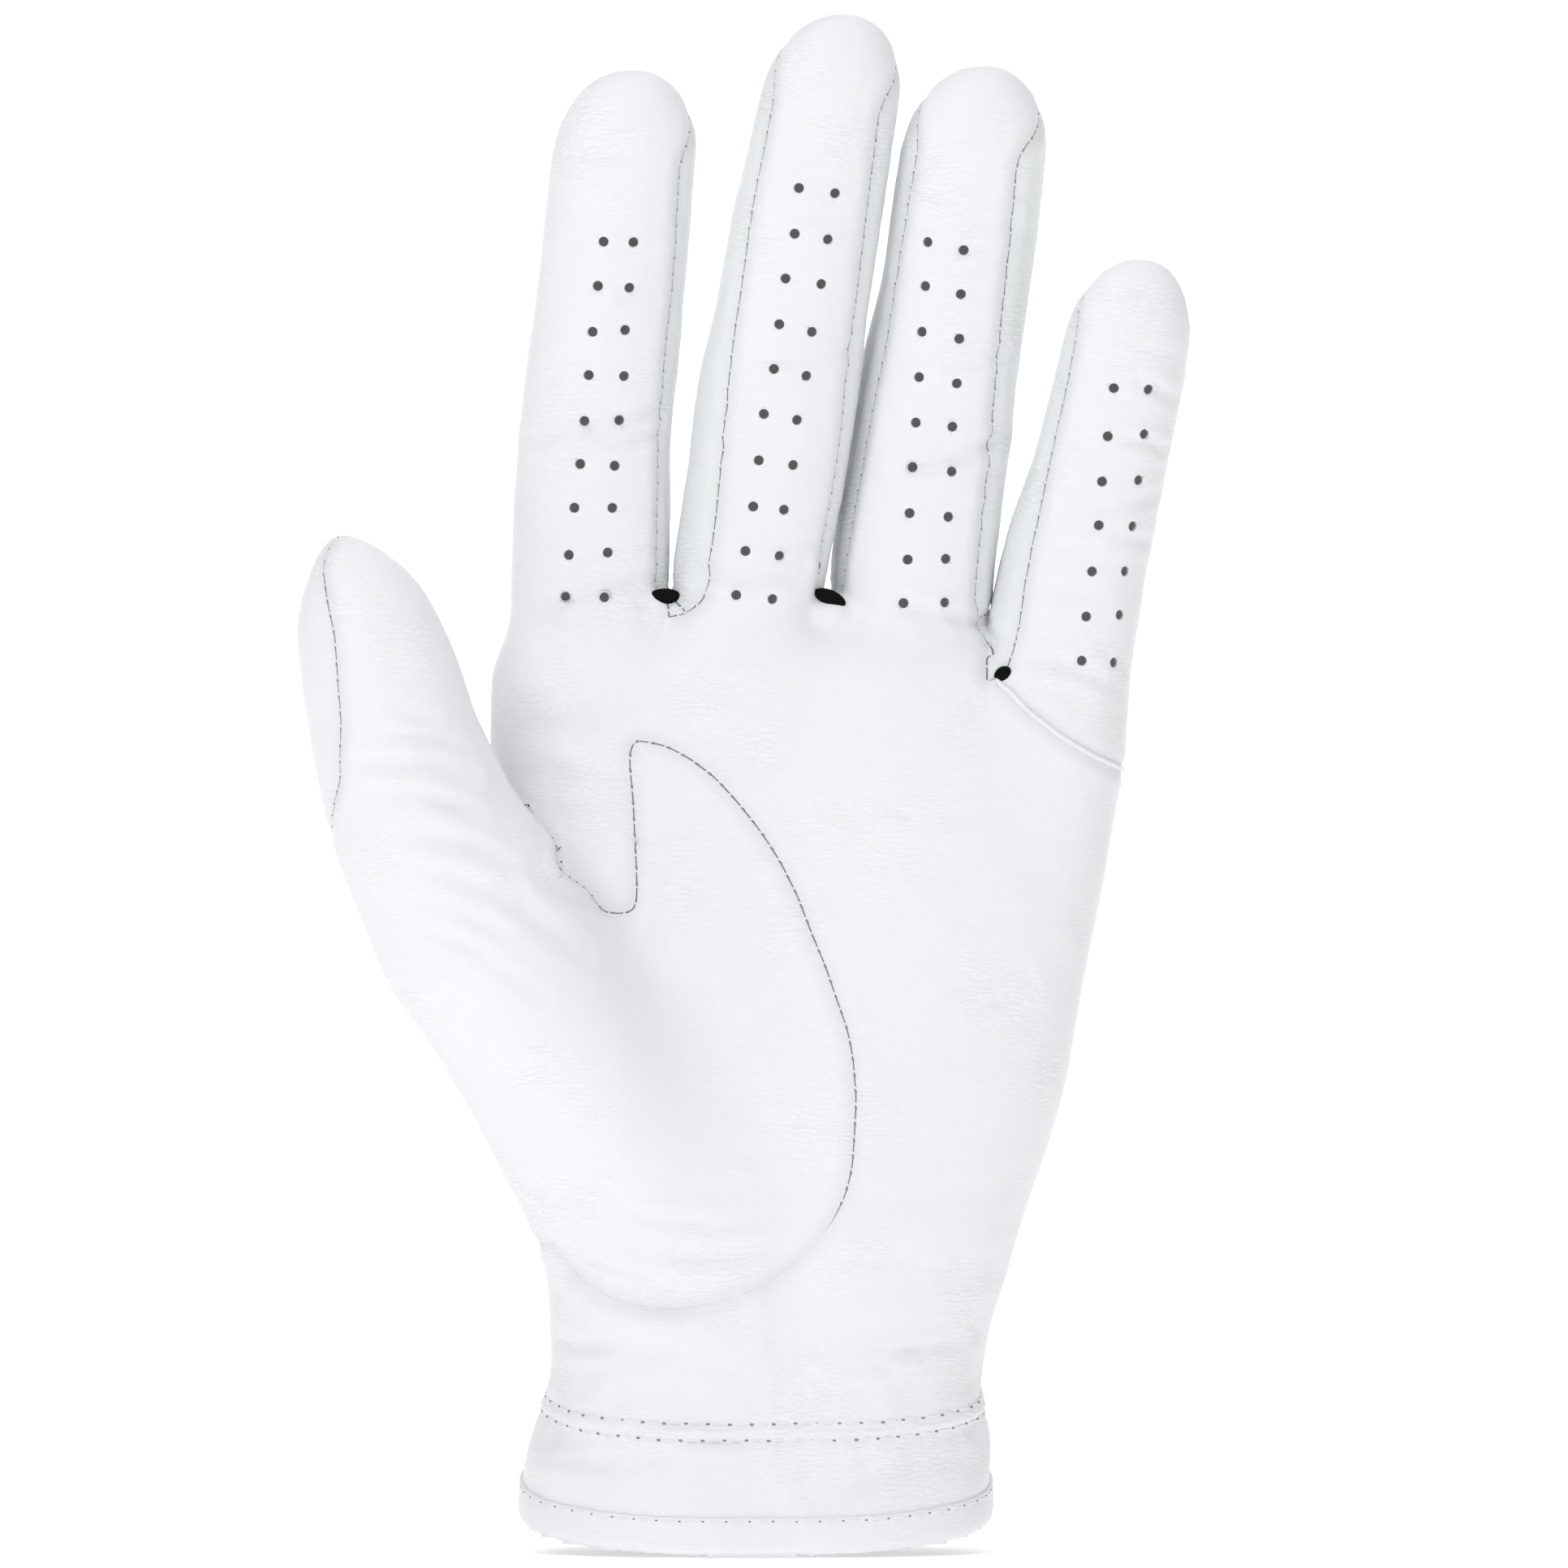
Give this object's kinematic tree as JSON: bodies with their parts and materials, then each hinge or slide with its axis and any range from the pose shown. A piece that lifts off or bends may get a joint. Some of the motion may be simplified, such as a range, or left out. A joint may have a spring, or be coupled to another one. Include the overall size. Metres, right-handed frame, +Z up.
{
  "type": "golf glove",
  "caption": "Left-hand golf glove of thin white leather, filled out, with perforated finger panels, elastic wrist and a pull tab at the back.",
  "frame": {"origin": "middle of the hand opening, at the height where the hem crosses the sides of the wrist", "axes": "+Z up along the hand to the fingertips, palm towards -Y, thumb towards -X"},
  "size_m": [0.1244, 0.0574, 0.2158],
  "materials": {
    "white_leather": "soft satin, fine grain",
    "fourchette_leather": "soft satin, in shade",
    "black_stretch": "matt stretch fabric",
    "white_thread": "spun sewing thread",
    "elastic": "woven elastic",
    "hook_and_loop": "matt pile",
    "label_satin": "satin ribbon"
  },
  "bodies": {
    "hand": {"back_panel": "white_leather", "crotch_gusset_index_middle": "black_stretch", "crotch_gusset_middle_ring": "black_stretch", "crotch_gusset_ring_little": "black_stretch", "hem_binding": "white_leather", "index_base_fold": "white_leather", "little_base_fold": "white_leather", "little_finger_welt": "white_leather", "loop_patch": "hook_and_loop", "middle_base_fold": "white_leather", "palm_panel": "white_leather", "ring_base_fold": "white_leather", "size_label": "label_satin", "slit_binding": "white_leather", "tab_anchor": "white_leather", "thumb_base_fold": "white_leather", "thumb_panel": "white_leather", "thumb_panel_thread": "white_thread", "wrist_elastic": "elastic", "wrist_thread_lower": "white_thread", "wrist_thread_upper": "white_thread"},
    "index_base": {"index_base_back": "white_leather", "index_base_fourchette_ulnar": "fourchette_leather", "index_base_palm": "white_leather", "index_knuckle_fold": "white_leather"},
    "index_tip": {"index_tip_back": "white_leather", "index_tip_fourchette_ulnar": "fourchette_leather", "index_tip_palm": "white_leather"},
    "middle_base": {"middle_base_back": "white_leather", "middle_base_fourchette_radial": "fourchette_leather", "middle_base_fourchette_ulnar": "fourchette_leather", "middle_base_palm": "white_leather", "middle_knuckle_fold": "white_leather"},
    "middle_tip": {"middle_tip_back": "white_leather", "middle_tip_fourchette_radial": "fourchette_leather", "middle_tip_fourchette_ulnar": "fourchette_leather", "middle_tip_palm": "white_leather"},
    "ring_base": {"ring_base_back": "white_leather", "ring_base_fourchette_radial": "fourchette_leather", "ring_base_fourchette_ulnar": "fourchette_leather", "ring_base_palm": "white_leather", "ring_knuckle_fold": "white_leather"},
    "ring_tip": {"ring_tip_back": "white_leather", "ring_tip_fourchette_radial": "fourchette_leather", "ring_tip_fourchette_ulnar": "fourchette_leather", "ring_tip_palm": "white_leather"},
    "little_base": {"little_base_back": "white_leather", "little_base_fourchette_radial": "fourchette_leather", "little_base_palm": "white_leather", "little_knuckle_fold": "white_leather"},
    "little_tip": {"little_tip_back": "white_leather", "little_tip_fourchette_radial": "fourchette_leather", "little_tip_palm": "white_leather"},
    "thumb_base": {"thumb_base_back": "white_leather", "thumb_base_front": "white_leather", "thumb_knuckle_fold": "white_leather"},
    "thumb_tip": {"thumb_tip_back": "white_leather", "thumb_tip_front": "white_leather"},
    "closure_tab": {"closure_tab": "white_leather", "tab_hooks": "hook_and_loop"}
  },
  "joints": [
    {"name": "index_root_bend", "type": "hinge", "parent": "hand", "child": "index_base", "pos_m": [-0.023, -0.00115, 0.13544], "axis": [0.9963, 0, -0.0858], "range_deg": [-10, 45], "deforming": ["index_base_fold"]},
    {"name": "index_knuckle_bend", "type": "hinge", "parent": "index_base", "child": "index_tip", "pos_m": [-0.02138, -0.00293, 0.15429], "axis": [0.9963, 0, -0.0858], "range_deg": [0, 75], "deforming": ["index_knuckle_fold"]},
    {"name": "middle_root_bend", "type": "hinge", "parent": "hand", "child": "middle_base", "pos_m": [-0.00008, -0.00121, 0.13537], "axis": [0.9869, 0, -0.1611], "range_deg": [-10, 45], "deforming": ["middle_base_fold"]},
    {"name": "middle_knuckle_bend", "type": "hinge", "parent": "middle_base", "child": "middle_tip", "pos_m": [0.00329, -0.00335, 0.15599], "axis": [0.9869, 0, -0.1611], "range_deg": [0, 75], "deforming": ["middle_knuckle_fold"]},
    {"name": "ring_root_bend", "type": "hinge", "parent": "hand", "child": "ring_base", "pos_m": [0.02401, -0.00115, 0.13542], "axis": [0.9932, 0, -0.1167], "range_deg": [-10, 45], "deforming": ["ring_base_fold"]},
    {"name": "ring_knuckle_bend", "type": "hinge", "parent": "ring_base", "child": "ring_tip", "pos_m": [0.02622, -0.0029, 0.15421], "axis": [0.9932, 0, -0.1167], "range_deg": [0, 75], "deforming": ["ring_knuckle_fold"]},
    {"name": "little_root_bend", "type": "hinge", "parent": "hand", "child": "little_base", "pos_m": [0.04466, -0.00005, 0.12338], "axis": [0.9841, 0, -0.1774], "range_deg": [-10, 45], "deforming": ["little_base_fold"]},
    {"name": "little_knuckle_bend", "type": "hinge", "parent": "little_base", "child": "little_tip", "pos_m": [0.04722, -0.00138, 0.13759], "axis": [0.9841, 0, -0.1774], "range_deg": [0, 70], "deforming": ["little_knuckle_fold"]},
    {"name": "thumb_root_bend", "type": "hinge", "parent": "hand", "child": "thumb_base", "pos_m": [-0.04778, -0.02131, 0.1018], "axis": [-0.017, 0.9981, 0.0591], "range_deg": [0, 25], "deforming": ["thumb_base_fold"]},
    {"name": "thumb_knuckle_bend", "type": "hinge", "parent": "thumb_base", "child": "thumb_tip", "pos_m": [-0.05164, -0.02217, 0.11523], "axis": [-0.017, 0.9981, 0.0591], "range_deg": [0, 50], "deforming": ["thumb_knuckle_fold"]},
    {"name": "closure_tab_peel", "type": "hinge", "parent": "hand", "child": "closure_tab", "pos_m": [-0.02, 0.01772, 0.03], "axis": [0, 0, 1], "range_deg": [0, 120]}
  ]
}
